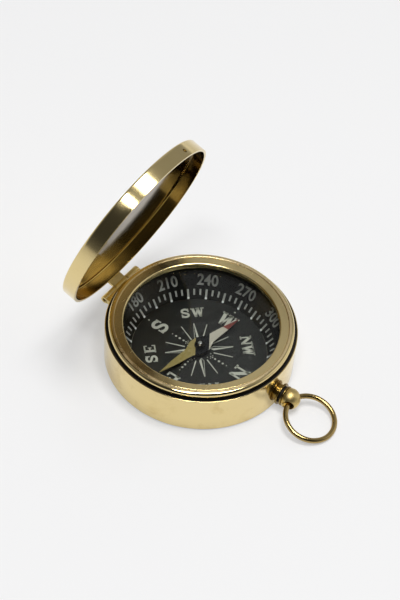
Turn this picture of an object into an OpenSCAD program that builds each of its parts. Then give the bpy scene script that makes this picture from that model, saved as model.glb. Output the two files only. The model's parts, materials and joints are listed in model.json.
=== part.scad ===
// Pocket compass with a hinged lid, a degree ring, a pivoted needle, a stem and a bow ring.
// Lengths are millimetres. The origin is the centre of the case's underside and +Z is up.
// The hinge is on the +Y side and the stem on the -Y side.

/* [Case] */
// Outside diameter of the case and of the lid
case_d = 50; // [44:0.5:60]
// Height of the case wall, up to the lip that the lid closes on
case_h = 11.4; // [10.6:0.1:16]
// Thickness of the case wall
case_wall = 1.6; // [1.4:0.1:1.9]
// Thickness of the case floor
case_floor = 0.7; // [0.5:0.1:1]
// Width of the lip outside the groove
lip_w = 0.25; // [0.2:0.05:0.4]
// Depth of the groove between the lip and the bezel
groove_depth = 0.5; // [0.3:0.1:0.7]
// Chamfer round the foot of the case
foot_chamfer = 0.3; // [0.1:0.1:0.6]

/* [Bezel and glass] */
// Height of the bezel above its seat
bezel_h = 2.3; // [2:0.1:2.8]
// Width of the bezel's flat top
bezel_face_w = 1.5; // [1:0.1:2]
// Length of the bezel's skirt inside the case
skirt_len = 1.5; // [1.2:0.1:1.8]
// Wall of the bezel's skirt
skirt_wall = 0.48; // [0.4:0.02:0.6]
// Width of the retaining ring that frames the window
retainer_w = 2.4; // [1.8:0.1:3]
// Height of the retaining ring at its outside
retainer_h = 1.7; // [1.4:0.1:1.9]
// Drop of the retaining ring's face towards the window
retainer_fall = 0.35; // [0:0.05:0.5]
// Thickness of the glass
glass_t = 0.9; // [0.6:0.1:1.1]
// Wire diameter of the spring ring under the glass
spring_wire = 0.45; // [0.3:0.05:0.5]

/* [Dial] */
// Diameter of the flat dial
dial_d = 35.8; // [30:0.2:38]
// Thickness of the dial
dial_t = 0.3; // [0.2:0.1:0.5]
// Thickness of the card under the dial
backing_t = 0.4; // [0.3:0.1:0.6]
// Height of the degree ring's straight wall above its cone
ring_wall_h = 2.4; // [1.8:0.1:3]
// Sheet thickness of the degree ring
ring_sheet = 0.4; // [0.3:0.05:0.5]

/* [Needle] */
// Length of the needle
needle_len = 28.6; // [22:0.2:31]
// Width of the needle at its hub
needle_w = 5.2; // [4:0.2:6]
// Thickness of the needle
needle_t = 0.2; // [0.15:0.05:0.4]
// Height of the needle's underside above the dial
needle_lift = 1.6; // [1.2:0.1:2]
// Bearing of the needle's north end on the dial, in degrees
needle_bearing = 282; // [0:1:359]
// Radius of the cap on the needle
cap_r = 1.35; // [1.2:0.05:1.6]
// Radius of the steel pivot
pivot_r = 0.3; // [0.2:0.02:0.34]

/* [Lid] */
// Outside depth of the lid
lid_h = 4.2; // [4:0.1:5.5]
// Thickness of the lid
lid_wall = 0.7; // [0.5:0.05:0.8]
// Rounding of the lid's outer edge
lid_edge_r = 0.55; // [0.2:0.05:0.6]
// Angle by which the lid stands open
lid_open = 72.3; // [45:0.1:100]
// Radius of the catch rivet in the lid's rim
catch_r = 0.55; // [0.4:0.05:0.7]
// Angle from the front of the lid to the catch rivet
catch_turn = 22; // [-30:1:30]

/* [Hinge] */
// Distance of the hinge axis outside the case wall
hinge_out = 1.2; // [1.2:0.05:1.5]
// Distance of the hinge axis below the case's lip
hinge_drop = 2.33; // [2:0.05:3]
// Outside radius of the hinge knuckles
knuckle_r = 1.08; // [0.9:0.02:1.1]
// Radius of the hinge pin
pin_r = 0.5; // [0.4:0.02:0.6]
// Length of the whole hinge
hinge_len = 14.3; // [11:0.1:17]
// Depth by which the pin's ends lie inside the knuckles
pin_recess = 0.5; // [0.2:0.1:1]

/* [Stem and bow] */
// Height of the stem's axis
stem_z = 3.4; // [3.2:0.1:5]
// Radius of the collar on the case wall
collar_r = 3; // [2.6:0.1:3.1]
// Radius of the ball that carries the bow
ball_r = 2.8; // [2.6:0.1:3]
// Radius of the threaded shank through the case wall
shank_r = 1.25; // [1:0.05:1.4]
// Radius of the hole across the ball
bow_hole_r = 1; // [1:0.05:1.1]
// Radius of the bow's wire
bow_wire_r = 0.7; // [0.5:0.05:0.75]
// Radius of the bow to the middle of its wire
bow_r = 6.5; // [6:0.1:9]
// Angle by which the bow lies aside
bow_yaw = 10; // [0:1:10]

/* [Clearances] */
// Gap between the lid's wall and the bezel
lid_gap = 0.2; // [0.15:0.05:0.3]
// Gap under the closed lid's rim
rim_gap = 0.1; // [0.1:0.05:0.3]
// Gap between the bezel's skirt and the case
fit_gap = 0.02; // [0.01:0.01:0.05]
// Gap round the degree ring
ring_gap = 0.1; // [0.05:0.05:0.2]
// Gap between turning parts and their pin
run_gap = 0.05; // [0.02:0.01:0.08]
// Gap between the ends of neighbouring knuckles
knuckle_gap = 0.15; // [0.1:0.05:0.3]

/* [Hidden] */
$fn = 96;
eps = 0.01;

case_r = case_d / 2;
bore_r = case_r - case_wall;
seat_z = case_h - groove_depth;

lid_in_r = case_r - lid_wall;
bezel_r = lid_in_r - lid_gap;
bezel_in_r = bezel_r - bezel_face_w;
bezel_top_z = seat_z + bezel_h;
skirt_r = bore_r - fit_gap;
skirt_z = seat_z - skirt_len;
glass_seat_r = skirt_r - skirt_wall;
glass_top_z = bezel_top_z - retainer_h - 0.1;
glass_z = glass_top_z - glass_t;
glass_r = glass_seat_r - run_gap;
retainer_r = bezel_in_r - fit_gap;
window_r = bezel_in_r - retainer_w;
bezel_round = 0.3;
seam_chamfer = 0.15;

dial_r = dial_d / 2;
dial_z = case_floor + backing_t;
dial_top_z = dial_z + dial_t;
backing_r = dial_r + 0.6;
ring_in_r = dial_r + ring_gap;
ring_out_r = bore_r - ring_gap;
ring_wall_r = ring_out_r - ring_sheet;
ring_lip = 0.35;
ring_cone_z = skirt_z - ring_wall_h;
ring_slope = atan2(ring_cone_z - dial_z - ring_lip, ring_wall_r - ring_in_r);
ring_side = ring_sheet / sin(ring_slope);

needle_z = dial_top_z + needle_lift;
needle_top_z = needle_z + needle_t;
spigot_r = 1.15;
cap_bore_r = 0.75;
cap_h = 1.2;
cap_top_z = needle_top_z + cap_h;
jewel_t = 0.6;
jewel_z = cap_top_z - 0.3 - jewel_t;
jewel_cone_r = 0.5;
jewel_cone_h = 0.45;
pivot_tip_z = jewel_z + jewel_cone_h - 2 * run_gap;
post_r = 0.9;
post_flange_r = 1.7;
post_flange_h = 0.3;
post_top_z = dial_top_z + 0.8;

rim_z = case_h + rim_gap;
lid_top_z = rim_z + lid_h;
catch_z = rim_z + (lid_h - lid_wall) / 2;
catch_proud = 0.15;

hinge_y = case_r + hinge_out;
hinge_z = case_h - hinge_drop;
knuckle_len = (hinge_len - 2 * knuckle_gap) / 3;
knuckle_x = knuckle_len + knuckle_gap;
leaf_t = 0.8;
leaf_up = 2.2;
saddle_h = 1.6;

collar_neck_r = 2.3;
collar_neck_l = 0.6;
collar_flange_l = 0.5;
collar_y = case_r + collar_neck_l + collar_flange_l;
groove_r = 2.3;
groove_l = 0.6;
bead_r = ball_r - 0.05;
bead_l = 0.5;
bead_y = collar_y + groove_l;
ball_y = bead_y + bead_l + 0.6 * ball_r - 0.48;
hole_y = ball_y + 1;
hole_flare = 0.75;
nut_t = 1;
nut_r = 2.1;
nut_y = sqrt(bore_r * bore_r - nut_r * nut_r);
shank_in = bore_r - nut_y + nut_t + 0.15;

bow_seat = 0.15;
bow_far = 2 * bow_r - bow_seat;
bow_clear = 0.03;
bow_tilt = asin((stem_z - bow_wire_r - bow_clear) / bow_far);

// A ring with a rectangular section.
module tube(r_out, r_in, z0, z1) {
    rotate_extrude() translate([r_in, z0]) square([r_out - r_in, z1 - z0]);
}

// A rod along X with its middle at x = 0.
module rod_x(r, len) {
    rotate([0, 90, 0]) cylinder(r = r, h = len, center = true);
}

// A rod along -Y from distance y0 to distance y1.
module rod_y(r, y0, y1) {
    translate([0, -y0, 0]) rotate([90, 0, 0]) cylinder(r = r, h = y1 - y0);
}

// Puts its children on the stem's axis.
module at_stem() {
    translate([0, 0, stem_z]) children();
}

// Turns the closed lid and what rides on it to where it stands open.
module open_lid() {
    translate([0, hinge_y, hinge_z]) rotate([-lid_open, 0, 0]) translate([0, -hinge_y, -hinge_z])
        children();
}

// Puts its children on the catch rivet's axis in the closed lid.
module at_catch() {
    rotate([0, 0, catch_turn]) translate([0, 0, catch_z]) children();
}

module case_body() {
    color("goldenrod") difference() {
        rotate_extrude() polygon([
            [0, 0], [case_r - foot_chamfer, 0], [case_r, foot_chamfer],
            [case_r, case_h - lip_w / 2], [case_r - lip_w / 2, case_h], [case_r - lip_w, case_h],
            [case_r - lip_w - groove_depth / 4, seat_z], [bore_r, seat_z], [bore_r, case_floor],
            [0, case_floor]
        ]);
        at_stem() rod_y(shank_r + run_gap, bore_r - case_wall, case_r + case_wall);
    }
}

module bezel_ring() {
    color("khaki") difference() {
        union() {
            rotate_extrude() union() {
                translate([glass_seat_r, seat_z])
                    square([bezel_r - glass_seat_r, bezel_h - bezel_round]);
                translate([bezel_in_r, glass_top_z])
                    square([bezel_face_w - bezel_round, bezel_top_z - glass_top_z]);
                translate([bezel_r - bezel_round, bezel_top_z - bezel_round])
                    circle(r = bezel_round);
            }
            tube(skirt_r, glass_seat_r, skirt_z, seat_z + eps);
            tube(glass_seat_r + eps, bezel_in_r, glass_top_z, bezel_top_z - bezel_round);
        }
        translate([0, 0, bezel_top_z - seam_chamfer])
            cylinder(r1 = bezel_in_r - eps, r2 = bezel_in_r + seam_chamfer, h = seam_chamfer + eps);
    }
}

module retaining_ring() {
    lip_r = 0.45;
    color("tan") rotate_extrude() union() {
        polygon([
            [window_r + lip_r, glass_top_z], [retainer_r, glass_top_z],
            [retainer_r, glass_top_z + retainer_h - seam_chamfer],
            [retainer_r - seam_chamfer, glass_top_z + retainer_h],
            [window_r + lip_r, glass_top_z + retainer_h - retainer_fall]
        ]);
        translate([window_r + lip_r, glass_top_z + retainer_h - retainer_fall - lip_r])
            circle(r = lip_r);
        translate([window_r, glass_top_z])
            square([lip_r, retainer_h - retainer_fall - lip_r]);
    }
}

module glass() {
    color("lightblue", 0.3) translate([0, 0, glass_z]) cylinder(r = glass_r, h = glass_t - fit_gap);
}

module spring_ring() {
    color("silver") translate([0, 0, glass_z - spring_wire / 2 - fit_gap]) rotate([0, 0, 5])
        rotate_extrude(angle = 350) translate([glass_seat_r - spring_wire / 2 - fit_gap, 0])
            circle(d = spring_wire);
}

module degree_ring() {
    color("black") rotate_extrude() polygon([
        [ring_in_r, dial_z], [ring_in_r, dial_z + ring_lip],
        [ring_wall_r, ring_cone_z], [ring_wall_r, skirt_z],
        [ring_out_r, skirt_z], [ring_out_r, ring_cone_z - ring_sheet / 2],
        [ring_in_r + ring_side, dial_z]
    ]);
}

module dial() {
    color("black") tube(dial_r, post_r + run_gap, dial_z, dial_top_z);
}

module dial_backing() {
    color("dimgray") tube(backing_r, post_r + run_gap, case_floor, dial_z);
}

module pivot_post() {
    color("goldenrod") difference() {
        union() {
            translate([0, 0, case_floor]) cylinder(r = post_r, h = post_top_z - case_floor);
            translate([0, 0, dial_top_z]) cylinder(r = post_flange_r, h = post_flange_h);
        }
        translate([0, 0, dial_z]) cylinder(r = pivot_r + fit_gap, h = post_top_z);
    }
}

module pivot_pin() {
    point_h = 0.8;
    color("silver") translate([0, 0, dial_z]) union() {
        cylinder(r = pivot_r, h = pivot_tip_z - point_h - dial_z);
        translate([0, 0, pivot_tip_z - point_h - dial_z]) cylinder(r1 = pivot_r, r2 = 0.05, h = point_h);
    }
}

// The plan of the needle with its north end on +X.
module needle_plan() {
    half = needle_len / 2;
    waist = needle_w * 0.27;
    neck = needle_w * 0.16;
    polygon([
        [half, 0], [half * 0.65, neck], [half * 0.25, waist], [half * 0.08, needle_w / 2],
        [-half * 0.08, needle_w / 2], [-half * 0.25, waist], [-half * 0.65, neck],
        [-half, 0], [-half * 0.65, -neck], [-half * 0.25, -waist], [-half * 0.08, -needle_w / 2],
        [half * 0.08, -needle_w / 2], [half * 0.25, -waist], [half * 0.65, -neck]
    ]);
}

module needle() {
    color("silver") rotate([0, 0, 270 - needle_bearing]) translate([0, 0, needle_z])
        linear_extrude(needle_t) difference() {
            needle_plan();
            circle(r = spigot_r + fit_gap);
        }
}

module needle_cap() {
    dome_h = 0.45;
    side_h = cap_h - dome_h;
    dome_r = (cap_r * cap_r + dome_h * dome_h) / (2 * dome_h);
    color("gold") difference() {
        union() {
            translate([0, 0, needle_z - needle_t / 2]) cylinder(r = spigot_r, h = needle_t * 2);
            translate([0, 0, needle_top_z]) cylinder(r = cap_r, h = side_h);
            translate([0, 0, needle_top_z]) cylinder(r = cap_r + 0.35, h = 0.2);
            intersection() {
                translate([0, 0, cap_top_z - dome_r]) sphere(r = dome_r);
                translate([0, 0, needle_top_z + side_h - eps]) cylinder(r = cap_r, h = cap_h);
            }
        }
        translate([0, 0, needle_z - needle_t]) cylinder(r = cap_bore_r, h = jewel_z + jewel_t - needle_z + needle_t);
    }
}

module cap_jewel() {
    color("firebrick") translate([0, 0, jewel_z]) difference() {
        cylinder(r = cap_bore_r - fit_gap, h = jewel_t - fit_gap);
        translate([0, 0, -eps]) cylinder(r1 = jewel_cone_r, r2 = 0.05, h = jewel_cone_h);
    }
}

module lid_shell() {
    color("gold") open_lid() difference() {
        translate([0, 0, rim_z]) rotate_extrude() union() {
            translate([lid_in_r, 0]) square([lid_wall, lid_h - lid_edge_r]);
            translate([0, lid_h - lid_wall]) square([case_r - lid_edge_r, lid_wall]);
            translate([case_r - lid_edge_r, lid_h - lid_edge_r]) circle(r = lid_edge_r);
        }
        at_catch() rod_y(catch_r + fit_gap, lid_in_r - lid_wall, case_r + lid_wall);
    }
}

module lid_catch() {
    sink = 0.2;
    color("darkgoldenrod") open_lid() at_catch() difference() {
        rod_y(catch_r, lid_in_r - catch_proud, case_r - sink);
        rod_y(catch_r / 2, case_r - lid_wall / 2, case_r);
    }
}

// Draws its flat children, with Y and Z as their axes, as a bar along X.
module bar_x(len) {
    rotate([90, 0, 90]) linear_extrude(len, center = true) children();
}

// The outline of a knuckle: a round eye joined to its flat children, with the pin's bore.
module knuckle_outline(bore) {
    difference() {
        union() {
            translate([hinge_y, hinge_z]) circle(r = knuckle_r);
            children();
        }
        translate([hinge_y, hinge_z]) circle(r = bore);
    }
}

module lid_knuckle() {
    color("gold") open_lid() difference() {
        bar_x(knuckle_len) knuckle_outline(pin_r + run_gap) {
            translate([hinge_y - leaf_t, hinge_z]) square([leaf_t, rim_z - hinge_z + leaf_up]);
            translate([lid_in_r, rim_z]) square([hinge_y - lid_in_r, leaf_up]);
        }
        translate([0, 0, rim_z - eps]) cylinder(r = case_r, h = lid_h);
    }
}

// A case knuckle with the saddle that joins it to the wall.
module case_knuckle(side) {
    saddle_l = 3;
    color("goldenrod") difference() {
        translate([side * knuckle_x, 0, 0]) bar_x(knuckle_len) knuckle_outline(pin_r + fit_gap)
            translate([hinge_y - saddle_l, hinge_z - saddle_h / 2]) square([saddle_l, saddle_h]);
        cylinder(r = case_r, h = case_h);
    }
}

module case_knuckle_left() {
    case_knuckle(-1);
}

module case_knuckle_right() {
    case_knuckle(1);
}

module hinge_pin() {
    color("silver") translate([0, hinge_y, hinge_z]) rod_x(pin_r, hinge_len - 2 * pin_recess);
}

module stem_collar() {
    color("goldenrod") difference() {
        at_stem() union() {
            rod_y(collar_neck_r, case_r - 0.5, case_r + collar_neck_l);
            rod_y(collar_r, case_r + collar_neck_l, collar_y);
        }
        cylinder(r = case_r, h = case_h);
        at_stem() rod_y(shank_r + run_gap, bore_r, collar_y + 1);
    }
}

// Half of the stem's outline, with its axis on the second axis.
module stem_outline() {
    translate([0, bore_r - shank_in]) square([shank_r, collar_y + eps - bore_r + shank_in]);
    translate([0, collar_y]) square([groove_r, bead_y + eps - collar_y]);
    translate([0, bead_y]) square([bead_r, bead_l]);
    translate([0, bead_y + bead_l - eps]) square([groove_r, ball_y - bead_y - bead_l]);
    intersection() {
        translate([0, ball_y]) circle(r = ball_r);
        translate([0, bead_y]) square([ball_r, 2 * ball_r]);
    }
}

module stem() {
    throat = 0.9;
    mouth = ball_r + 0.2;
    mouth_r = bow_hole_r + hole_flare;
    color("goldenrod") at_stem() difference() {
        rotate([90, 0, 0]) rotate_extrude() stem_outline();
        translate([0, -hole_y, 0]) rotate([0, 90, 0]) rotate_extrude() polygon([
            [0, -mouth], [mouth_r, -mouth], [bow_hole_r, -throat],
            [bow_hole_r, throat], [mouth_r, mouth], [0, mouth]
        ]);
    }
}

module stem_nut() {
    color("silver") at_stem() difference() {
        translate([0, -nut_y + nut_t, 0]) rotate([90, 0, 0]) cylinder(r = nut_r, h = nut_t, $fn = 6);
        rod_y(shank_r + fit_gap, 0, case_r);
    }
}

module bow_ring() {
    color("goldenrod") translate([0, -hole_y, stem_z]) rotate([bow_tilt, 0, 0]) rotate([0, 0, -bow_yaw])
        translate([0, bow_seat - bow_r, 0])
            rotate_extrude() translate([bow_r, 0]) circle(r = bow_wire_r, $fn = 32);
}

case_body();
bezel_ring();
retaining_ring();
glass();
spring_ring();
degree_ring();
dial();
dial_backing();
pivot_post();
pivot_pin();
needle();
needle_cap();
cap_jewel();
lid_shell();
lid_catch();
lid_knuckle();
case_knuckle_left();
case_knuckle_right();
hinge_pin();
stem_collar();
stem();
stem_nut();
bow_ring();
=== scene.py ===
import json
from math import asin, cos, hypot, pi, radians, sin

import bmesh
import bpy
from mathutils import Matrix, Vector


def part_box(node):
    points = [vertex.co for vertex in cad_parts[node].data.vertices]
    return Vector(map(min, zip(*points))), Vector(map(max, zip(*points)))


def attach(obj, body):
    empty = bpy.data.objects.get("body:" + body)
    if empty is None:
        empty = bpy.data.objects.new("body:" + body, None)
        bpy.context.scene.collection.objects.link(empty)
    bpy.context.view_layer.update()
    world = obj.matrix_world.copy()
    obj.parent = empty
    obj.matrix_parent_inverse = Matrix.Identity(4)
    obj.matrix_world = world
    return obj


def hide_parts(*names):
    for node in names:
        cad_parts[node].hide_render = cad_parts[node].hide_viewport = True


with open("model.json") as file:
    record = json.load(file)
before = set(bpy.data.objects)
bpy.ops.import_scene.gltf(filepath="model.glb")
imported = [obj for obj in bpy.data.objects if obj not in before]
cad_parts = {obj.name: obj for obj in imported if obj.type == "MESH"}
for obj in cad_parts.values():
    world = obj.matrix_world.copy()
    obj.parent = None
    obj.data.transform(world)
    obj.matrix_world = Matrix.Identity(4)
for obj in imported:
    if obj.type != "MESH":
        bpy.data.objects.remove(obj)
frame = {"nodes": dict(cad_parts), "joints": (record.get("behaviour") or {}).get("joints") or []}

bl_info = {
    "name": "Pocket compass",
    "version": (1, 0, 0),
    "blender": (4, 5, 0),
    "location": "3D View > Sidebar > Compass",
    "description": "Builds a brass pocket compass with a hinged lid around its CAD frame",
    "category": "Object",
}

MM = 0.001
LID_GAP = 0.1           # between the case's lip and the rim of the shut lid
SKIRT_OUT, SKIRT_IN = 23.38, 22.9       # radii of the bezel's skirt inside the case
CONE_FOOT_R, CONE_TOP_R, CONE_TOP_Z = 18.0, 22.9, 7.0
MERGE = 0.0005
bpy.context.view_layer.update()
LIMITS = {joint["name"]: joint for joint in frame["joints"]}
HINGE = Vector(LIMITS["lid_hinge"]["pos_m"]) / MM
EYE = Vector(LIMITS["bow_swing"]["pos_m"]) / MM
LID_OPEN = -LIMITS["lid_hinge"]["range_deg"][0]


def edges_of(node):
    """The lowest and highest corners of a CAD node, in millimetres."""
    low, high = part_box(node)
    return low / MM, high / MM


def length(name, description, default, low=0.01, high=100.0):
    """A size in millimetres that can be changed in the sidebar."""
    return bpy.props.FloatProperty(
        name=name, description=description, default=default, min=low, max=high, precision=3)


def colour(name, description, default):
    """A colour written as sRGB hex digits."""
    return bpy.props.StringProperty(name=name, description=description, default=default)


class CaseSizes(bpy.types.PropertyGroup):
    """Sizes of the turned case, bezel and glass, in millimetres."""
    radius: length("Case radius", "Outside radius of the case wall", edges_of("case_body")[1].x)
    height: length("Case height", "Height of the case wall", edges_of("case_body")[1].z)
    wall: length("Case wall", "Thickness of the case wall", 1.6)
    floor: length("Case floor", "Thickness of the case floor", 0.7)
    lip: length("Lip width", "Width of the lip outside the groove", 0.25)
    groove: length("Groove depth", "Depth of the groove round the bezel", 0.5)
    bezel_radius: length("Bezel radius", "Outside radius of the bezel",
                         edges_of("bezel_ring")[1].x)
    bezel_top: length("Bezel top", "Height of the bezel's crown", edges_of("bezel_ring")[1].z)
    bezel_hole: length("Bezel hole", "Inside radius of the bezel", 22.6)
    window: length("Window radius", "Radius of the opening over the dial", 20.2)
    # Below this depth the bezel's wall is painted shade.
    clean: length("Unshaded wall", "How far down its wall the bezel stays bright", 1.4)
    crown: length("Crown", "Rounding where the bezel's face meets its wall", 0.85)


class DialSizes(bpy.types.PropertyGroup):
    """Sizes of the dial, its print and the degree ring, in millimetres."""
    radius: length("Dial radius", "Outside radius of the flat dial", edges_of("dial")[1].x)
    top: length("Dial top", "Height of the dial's printed face", edges_of("dial")[1].z)
    letters: length("Letter ring", "Radius on which the bearing letters stand", 12.9)
    cardinal: length("Cardinal height", "Height of the letters N, E, S and W", 4.4)
    between: length("Between height", "Height of the letters between them", 3.1)
    ray_inner: length("Ray start", "Radius at which the rays begin", 3.3)
    ray_outer: length("Ray end", "Radius at which the rays end", 9.1)
    number: length("Number height", "Height of the degree numbers along the cone", 3.0)


class LidSizes(bpy.types.PropertyGroup):
    """Sizes of the lid and its hinge, in millimetres."""
    wall: length("Lid wall", "Thickness of the lid", 0.7)
    depth: length("Lid depth", "Outside depth of the lid", 4.2)
    edge: length("Lid edge", "Rounding of the lid's outer edge", 0.55)
    catch: length("Catch radius", "Radius of the catch rivet in the rim", 0.55)
    knuckle: length("Knuckle radius", "Outside radius of the hinge knuckles", 1.08)
    pin: length("Pin radius", "Radius of the hinge pin", 0.5)


class StemSizes(bpy.types.PropertyGroup):
    """Sizes of the stem and the bow ring, in millimetres."""
    collar: length("Collar radius", "Radius of the collar against the case wall", 3.0)
    ball: length("Ball radius", "Radius of the ball that carries the bow", 2.8)
    hole: length("Bow hole", "Radius of the hole across the ball", 1.0)
    wire: length("Wire radius", "Radius of the bow's wire", 0.7)
    bow: length("Bow radius", "Radius of the bow to the middle of its wire", 6.5)


class Finishes(bpy.types.PropertyGroup):
    """Colours of the finishes, as sRGB hex digits."""
    brass: colour("Polished brass", "Buffed yellow brass", "E4CF97")
    worn: colour("Handled brass", "Yellow brass darkened by handling", "CBAE6C")
    tarnish: colour("Tarnish", "Brown oxide in the corners of the brass", "6A4A20")
    lacquer: colour("Black lacquer", "Satin black lacquer on the dial", "0D0D0C")
    print: colour("Dial print", "Off-white screen print on the dial", "BEBCB2")
    red: colour("Needle red", "Red lacquer on the needle's north tip", "722A24")
    white: colour("Needle white", "Off-white lacquer on the needle's north half", "B9B1A4")
    brown: colour("Needle brown", "Lacquered brass on the needle's south half", "93824E")
    table: colour("Table", "Pale glossy table", "F1F1F1")


def linear(hex_colour):
    """The linear colour of sRGB hex digits, with full alpha."""
    parts = [int(hex_colour[i:i + 2], 16) / 255 for i in (0, 2, 4)]
    return [p / 12.92 if p <= 0.04045 else ((p + 0.055) / 1.055) ** 2.4 for p in parts] + [1.0]


# ---------------------------------------------------------------- materials

def put(tree, kind, inputs=None, **settings):
    """Adds a shader node with its settings, and fills its inputs with values or links. A node
    given as a value stands for its first output."""
    node = tree.nodes.new("ShaderNode" + kind)
    for name, value in settings.items():
        setattr(node, name, value)
    for socket, value in (inputs or {}).items():
        if isinstance(value, bpy.types.Node):
            value = value.outputs[0]
        if isinstance(value, bpy.types.NodeSocket):
            tree.links.new(value, node.inputs[socket])
        else:
            node.inputs[socket].default_value = value
    return node


def blank(name):
    """The material of that name, made if there is none yet, with an empty node tree."""
    material = bpy.data.materials.get(name) or bpy.data.materials.new(name)
    material.use_nodes = True
    material.node_tree.nodes.clear()
    return material, material.node_tree


def done(material, surface, finish=""):
    """Links the surface to the material's output, and notes how the finish was made."""
    put(material.node_tree, "OutputMaterial", {"Surface": surface})
    if finish:
        material["finish"] = finish
    return material


def turned_brass(name, finish, base, dark, rough, lines=0.35, pits=0.3, shade_span=None):
    """Yellow brass turned on a lathe and buffed. The eye sees a soft mirror with very fine rings
    round the axis, a few cloudy patches of tarnish and hairline scratches from handling.
    Where a shade span is given, painted shade deepens the brass over the tarnish from its first
    height to its second."""
    material, tree = blank(name)
    where = put(tree, "TexCoord").outputs["Object"]
    split = put(tree, "SeparateXYZ", {"Vector": where})
    flat = put(tree, "CombineXYZ", {"X": split.outputs["X"], "Y": split.outputs["Y"]})
    radius = put(tree, "VectorMath", {0: flat}, operation="LENGTH")
    # Tool marks are drawn about 0.25 mm apart, coarser than real ones so that they show.
    along = put(tree, "Math", {0: radius.outputs["Value"], 1: split.outputs["Z"]},
                operation="ADD")
    rings = put(tree, "TexNoise", {"W": along, "Scale": 1 / (0.25 * MM),
                "Detail": 2.0, "Roughness": 0.6}, noise_dimensions="1D")
    # Cloudy tarnish is some 8 mm across.
    cloud = put(tree, "TexNoise", {"Vector": where, "Scale": 1 / (8 * MM),
                "Detail": 5.0, "Roughness": 0.62, "Distortion": 0.6})
    # Handling scratches are long thin cells, 5 mm by 0.16 mm.
    lay = put(tree, "Mapping", {"Vector": where, "Rotation": (0.4, 0.3, 0.7),
              "Scale": (1 / (5 * MM), 1 / (0.16 * MM), 1 / (5 * MM))})
    hair = put(tree, "TexNoise", {"Vector": lay, "Scale": 1.0, "Detail": 1.0})
    scratch = put(tree, "MapRange", {"Value": hair, "From Min": 0.68,
                  "From Max": 0.78, "To Min": 0.0, "To Max": 1.0})
    patch = put(tree, "MapRange", {"Value": cloud, "From Min": 0.5,
                "From Max": 0.78, "To Min": 0.0, "To Max": pits})
    # Painted shade: across the given heights the brass darkens towards the top, standing in for
    # shade, not tarnish.
    if shade_span:
        uneven = put(tree, "Math", {0: cloud, 1: 14 * MM,
                     2: split.outputs["Z"]}, operation="MULTIPLY_ADD")
        shade_growth = put(tree, "MapRange", {"Value": uneven,
                    "From Min": shade_span[0] * MM, "From Max": shade_span[1] * MM, "To Min": 0.0,
                    "To Max": 0.9}, interpolation_type="SMOOTHSTEP")
        patch = put(tree, "Math", {0: patch, 1: shade_growth},
                    operation="MAXIMUM")
    tint = put(tree, "Mix", {"Factor": patch, "A": linear(base),
               "B": linear(dark)}, data_type="RGBA")
    dull = put(tree, "MapRange", {"Value": cloud, "From Min": 0.3,
               "From Max": 0.75, "To Min": rough * 0.7, "To Max": rough * 1.5})
    cut = put(tree, "Math", {0: scratch, 1: 0.08, 2: dull},
              operation="MULTIPLY_ADD")
    height = put(tree, "Math", {0: scratch, 1: -0.25,
                 2: rings}, operation="MULTIPLY_ADD")
    bump = put(tree, "Bump", {"Height": height, "Strength": lines,
               "Distance": 0.004 * MM})
    shader = put(tree, "BsdfPrincipled", {"Base Color": tint.outputs["Result"],
                 "Metallic": 1.0, "Roughness": cut, "Normal": bump})
    return done(material, shader, finish)


def lacquer(name, finish, base, rough, specular=0.5, grain=0.05):
    """Sprayed or printed paint. The eye sees an even colour with a faint orange-peel grain."""
    material, tree = blank(name)
    where = put(tree, "TexCoord").outputs["Object"]
    # Orange peel of sprayed lacquer is about 0.4 mm across.
    peel = put(tree, "TexNoise", {"Vector": where, "Scale": 1 / (0.4 * MM),
               "Detail": 3.0, "Roughness": 0.55})
    wide = put(tree, "TexNoise", {"Vector": where, "Scale": 1 / (6 * MM), "Detail": 3.0})
    full = linear(base)
    deep = [c * 0.82 for c in full[:3]] + [1.0]
    tint = put(tree, "Mix", {"Factor": wide, "A": full, "B": deep},
               data_type="RGBA")
    dull = put(tree, "MapRange", {"Value": wide, "From Min": 0.3,
               "From Max": 0.7, "To Min": rough * 0.85, "To Max": rough * 1.15})
    bump = put(tree, "Bump", {"Height": peel, "Strength": grain,
               "Distance": 0.02 * MM})
    shader = put(tree, "BsdfPrincipled", {"Base Color": tint.outputs["Result"],
                 "Roughness": dull, "Specular IOR Level": specular,
                 "Normal": bump})
    return done(material, shader, finish)


def window_glass(name):
    """Flat soda-lime glass. The eye sees the dial through it, and the room faintly on it.
    The index is below that of real glass, which keeps the room's veil off the black dial."""
    material, tree = blank(name)
    where = put(tree, "TexCoord").outputs["Object"]
    smear = put(tree, "TexNoise", {"Vector": where, "Scale": 1 / (12 * MM),
                "Detail": 4.0})
    dull = put(tree, "MapRange", {"Value": smear, "From Min": 0.45,
               "From Max": 0.8, "To Min": 0.0, "To Max": 0.05})
    shader = put(tree, "BsdfPrincipled", {"Base Color": linear("FCFEFC"),
                 "Roughness": dull, "IOR": 1.22,
                 "Transmission Weight": 1.0})
    clear = put(tree, "BsdfTransparent", {"Color": linear("F6F9F6")})
    # Shadow and diffuse rays pass straight through, so that the dial is lit through the glass.
    path = put(tree, "LightPath")
    passing = put(tree, "Math", {0: path.outputs["Is Shadow Ray"],
                  1: path.outputs["Is Diffuse Ray"]}, operation="MAXIMUM")
    mix = put(tree, "MixShader", {0: passing, 1: shader,
              2: clear})
    return done(material, mix)


def ruby(name):
    """Synthetic ruby, ground and polished. The eye sees a deep red bead with a sharp glint."""
    material, tree = blank(name)
    shader = put(tree, "BsdfPrincipled", {"Base Color": linear("8E1226"),
                 "Roughness": 0.05, "IOR": 1.76, "Transmission Weight": 0.6})
    return done(material, shader)


def pressed_card(name):
    """Grey pressed card. The eye sees a matt face with short fibres."""
    material, tree = blank(name)
    where = put(tree, "TexCoord").outputs["Object"]
    fibre = put(tree, "TexNoise", {"Vector": where, "Scale": 1 / (0.3 * MM),
                "Detail": 6.0, "Roughness": 0.7})
    tint = put(tree, "Mix", {"Factor": fibre, "A": linear("8B8578"),
               "B": linear("6E695E")}, data_type="RGBA")
    shader = put(tree, "BsdfPrincipled", {"Base Color": tint.outputs["Result"],
                 "Roughness": 0.9})
    return done(material, shader)


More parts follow.
